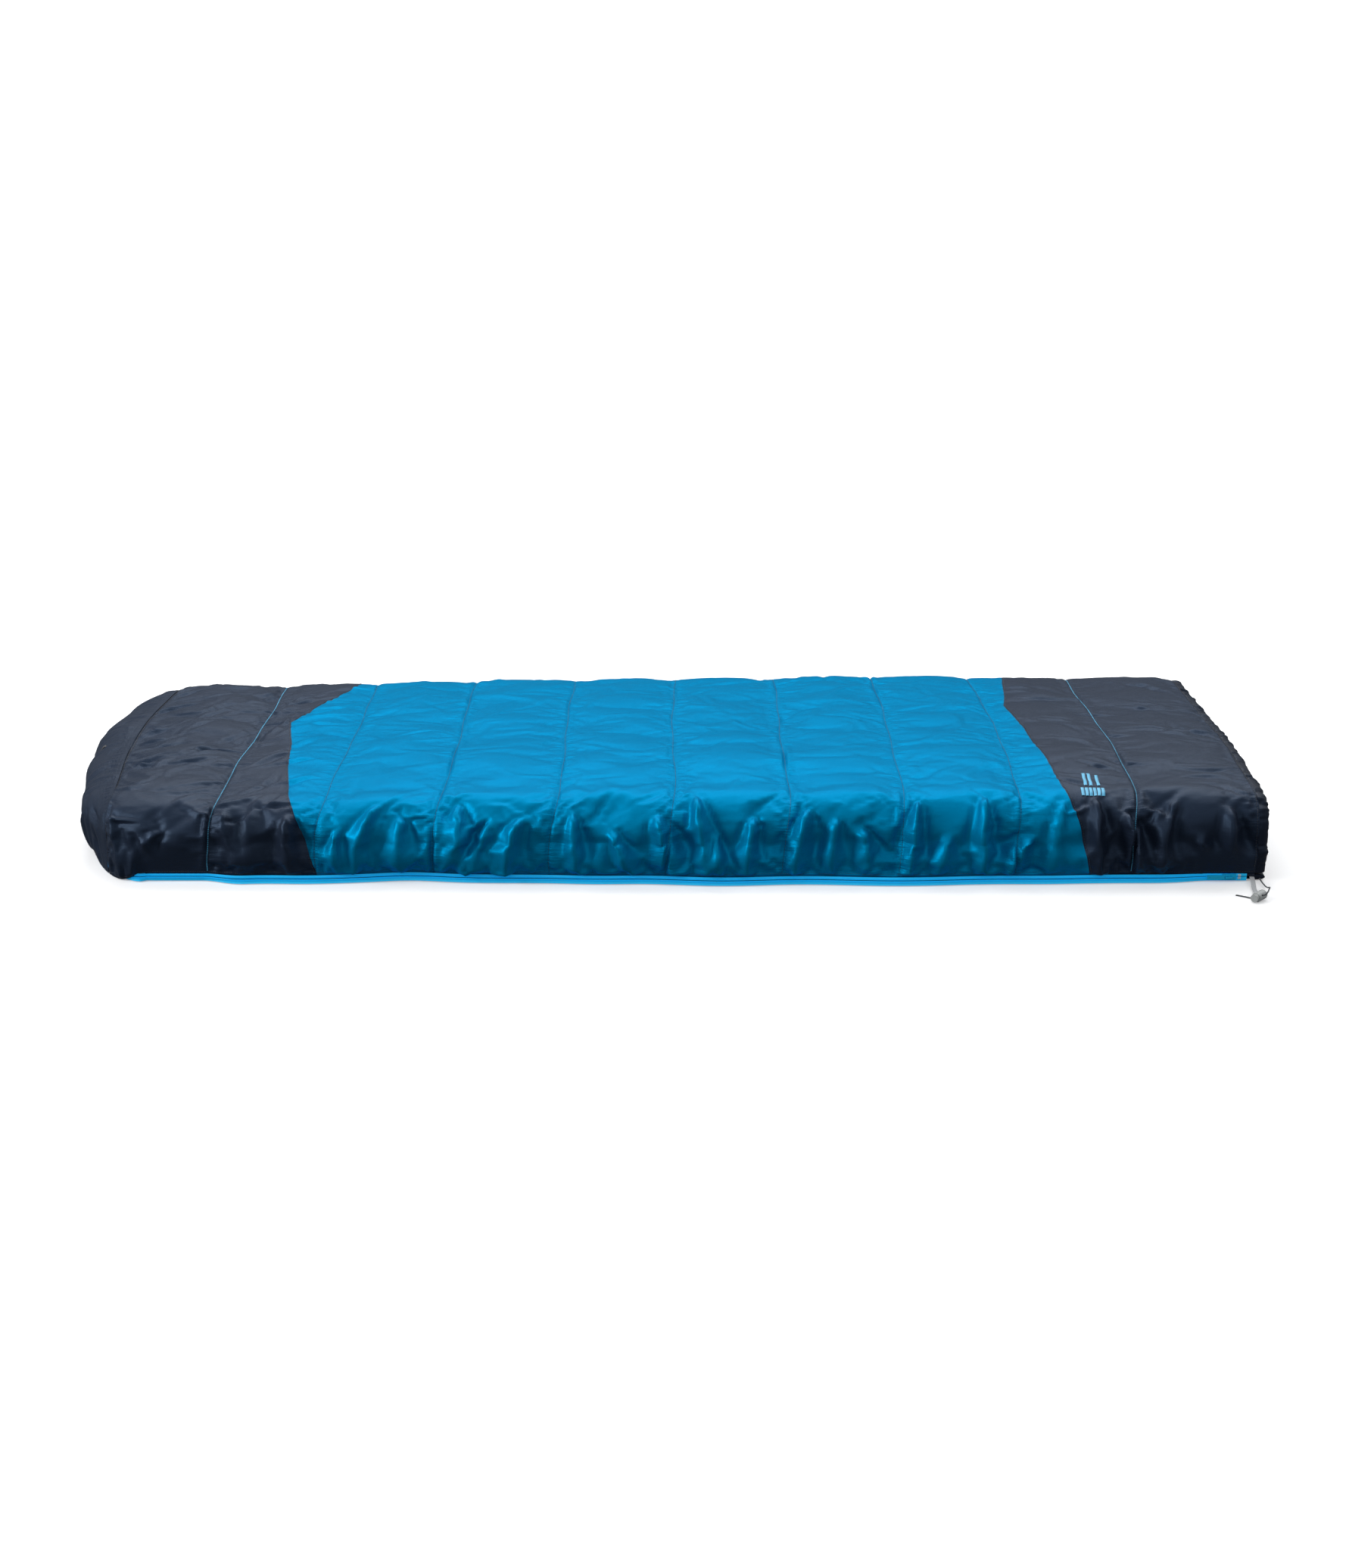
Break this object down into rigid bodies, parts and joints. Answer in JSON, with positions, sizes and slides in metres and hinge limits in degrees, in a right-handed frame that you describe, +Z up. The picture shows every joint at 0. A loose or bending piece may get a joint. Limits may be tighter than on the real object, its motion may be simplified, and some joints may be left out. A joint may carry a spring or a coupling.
{
  "type": "rectangular sleeping bag",
  "caption": "Rectangular sleeping bag laid flat and zipped shut, quilted in channels, with a rounded foot end, a hemmed head opening, a drawcord with its lock and a hang loop.",
  "frame": {"origin": "middle of the bag's whole length and width, on the floor it lies on", "axes": "+X towards the head opening, -Y towards the zipped long side, +Y towards the folded side, +Z up"},
  "size_m": [2.0752, 0.8815, 0.15],
  "materials": {
    "shell_blue": "bright blue satin nylon",
    "shell_dark": "charcoal navy satin nylon",
    "base_dark": "charcoal navy nylon underside",
    "lining": "navy lining cloth",
    "batt": "white polyester insulation",
    "hem_dark": "near-black hem cloth",
    "cord_grey": "dark grey braided elastic cord",
    "webbing_grey": "light grey webbing",
    "webbing_black": "black webbing",
    "zip_tape": "blue woven zip tape",
    "zip_coil": "bright blue nylon coil",
    "stop_plastic": "pale moulded plastic",
    "slider_paint": "blue painted die casting",
    "lock_plastic": "translucent light grey plastic",
    "spring_steel": "spring wire"
  },
  "bodies": {
    "bottom_quilt": {"bottom_shell": "base_dark", "bottom_batt_floor": "batt", "bottom_batt_fold": "batt", "bottom_liner": "lining", "fold_liner": "lining", "bottom_head_hem": "hem_dark", "drawcord_bottom_run": "cord_grey", "drawcord_tail": "cord_grey", "cord_lock_body": "lock_plastic", "cord_lock_spring": "spring_steel", "cord_anchor_tab": "webbing_grey", "zip_tape_bottom": "zip_tape", "zip_coil_bottom": "zip_coil", "zip_stop_lower": "stop_plastic", "zip_end_stop": "zip_coil"},
    "top_quilt": {"top_shell_foot_cap": "shell_dark", "top_shell_foot": "shell_dark", "top_shell_middle": "shell_blue", "top_shell_head": "shell_dark", "top_batt_crown": "batt", "top_batt_near": "batt", "top_batt_far": "batt", "top_batt_foot": "batt", "top_liner": "lining", "top_head_casing": "hem_dark", "drawcord_top_run": "cord_grey", "zip_tape_top": "zip_tape", "zip_coil_top": "zip_coil", "zip_stop_upper": "stop_plastic"},
    "slider": {"zip_slider": "slider_paint"},
    "pull_tab": {"zip_pull": "slider_paint"},
    "lock_plunger": {"cord_lock_plunger": "lock_plastic"},
    "hang_loop": {"hang_loop": "webbing_black"}
  },
  "joints": [
    {"name": "fold_open", "type": "hinge", "parent": "bottom_quilt", "child": "top_quilt", "pos_m": [0, 0.3944, 0.075], "axis": [-1, 0, 0], "range_deg": [0, 180]},
    {"name": "zip_slide", "type": "slide", "parent": "bottom_quilt", "child": "slider", "axis": [-1, 0, 0], "range_m": [0, 1.8]},
    {"name": "pull_swing", "type": "hinge", "parent": "slider", "child": "pull_tab", "pos_m": [0.975, -0.38985, 0.0092], "axis": [0, 0, 1], "range_deg": [0, 135]},
    {"name": "lock_press", "type": "slide", "parent": "bottom_quilt", "child": "lock_plunger", "axis": [0.7071, 0.7071, 0], "range_m": [0, 0.003], "stiffness_N_per_m": 250, "springref_m": -0.003, "deforming": ["cord_lock_spring"]},
    {"name": "loop_flop", "type": "hinge", "parent": "top_quilt", "child": "hang_loop", "pos_m": [-1.03007, 0.0034, 0.11463], "axis": [0, 1, 0], "range_deg": [0, 80]}
  ]
}
